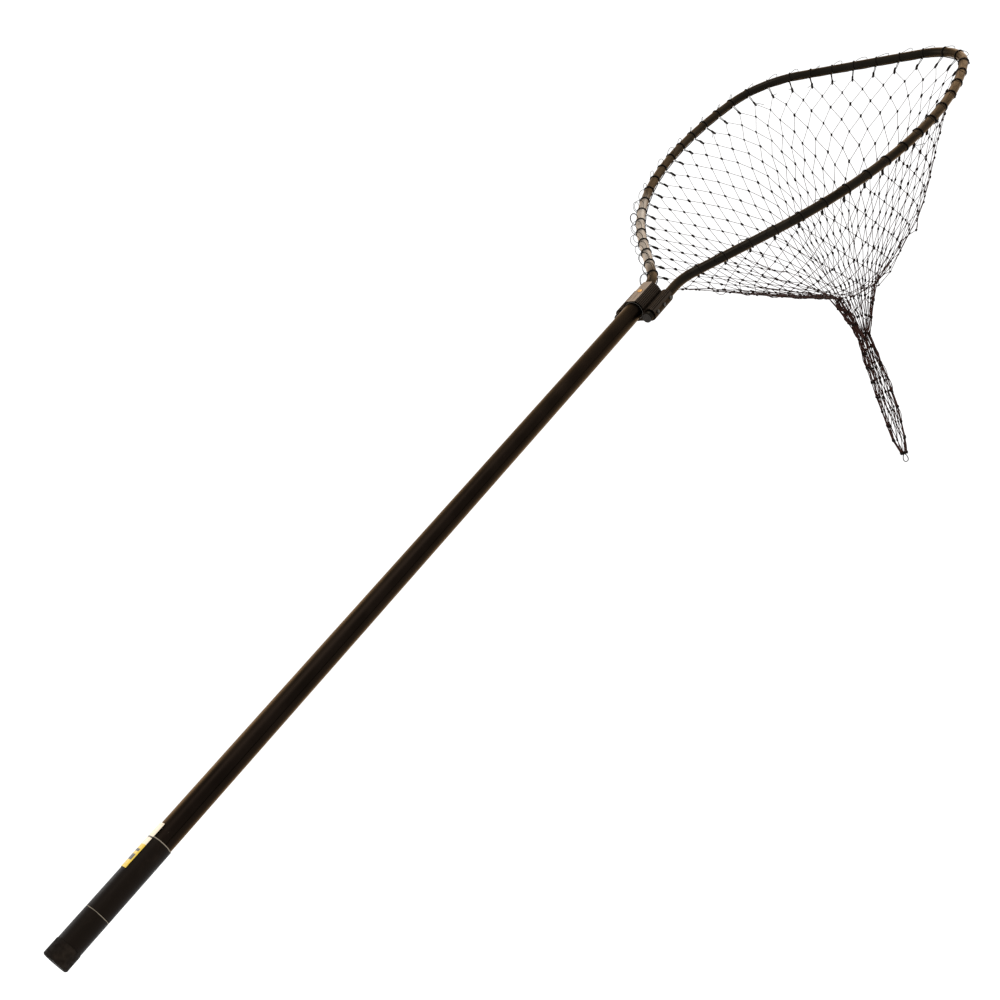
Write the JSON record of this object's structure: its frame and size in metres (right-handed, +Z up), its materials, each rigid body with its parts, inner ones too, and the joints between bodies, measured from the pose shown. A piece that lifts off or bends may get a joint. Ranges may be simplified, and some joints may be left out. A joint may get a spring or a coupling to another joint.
{
  "type": "landing net",
  "caption": "Landing net with a long straight handle, a ribbed sliding yoke with a spring button, a pear-shaped hoop and a deep knotted net bag with a tail.",
  "frame": {"origin": "on the handle's axis in the middle of the hand grip", "axes": "+Z up as the net is held, +X the way the handle points seen from above, so the handle rises at 26 degrees from +X; the net is turned 20 degrees about its handle, +Y arm up, and the netting hangs along -Z"},
  "size_m": [1.9077, 0.5049, 0.9766],
  "materials": {
    "handle_anodised": "satin black-bronze anodised tube",
    "cap_rubber": "matt black slip-on rubber",
    "grip_vinyl": "thin black vinyl sleeve",
    "label_paper": null,
    "plug_plastic": "black moulded plastic",
    "spring_steel": "spring strip",
    "button_brass": "worn brass",
    "yoke_anodised": "ribbed extrusion, dark anodised, rubbed lighter on the flat",
    "bush_nylon": "dark nylon",
    "screw_steel": "blackened steel",
    "hoop_anodised": "dark olive-bronze anodised tube",
    "lashing_cord": "black braided cord",
    "net_twine": "tarred brown-black twine"
  },
  "bodies": {
    "handle": {"handle_tube": "handle_anodised", "butt_cap": "cap_rubber", "grip_sleeve_rear": "grip_vinyl", "grip_sleeve_front": "grip_vinyl", "label": "label_paper", "front_plug": "plug_plastic", "spring_leaf_lower": "spring_steel"},
    "button": {"lock_button": "button_brass", "spring_leaf_upper": "spring_steel"},
    "head": {"yoke_body": "yoke_anodised", "rear_bush": "bush_nylon", "front_bush": "bush_nylon", "hoop": "hoop_anodised", "lashing_cord": "lashing_cord", "hoop_plug_near": "plug_plastic", "hoop_plug_far": "plug_plastic", "clamp_screw_near_1": "screw_steel", "clamp_screw_near_2": "screw_steel", "clamp_screw_near_3": "screw_steel", "clamp_screw_far_1": "screw_steel", "clamp_screw_far_2": "screw_steel", "clamp_screw_far_3": "screw_steel", "net_bag": "net_twine", "net_tail": "net_twine", "tail_loop": "lashing_cord"}
  },
  "joints": [
    {"name": "head_slide", "type": "slide", "parent": "handle", "child": "head", "axis": [0.8988, 0, 0.4384], "range_m": [-0.8, 0]},
    {"name": "button_press", "type": "slide", "parent": "handle", "child": "button", "axis": [0.4119, 0.342, -0.8446], "range_m": [0, 0.0048], "stiffness_N_per_m": 600, "springref_m": -0.004}
  ]
}
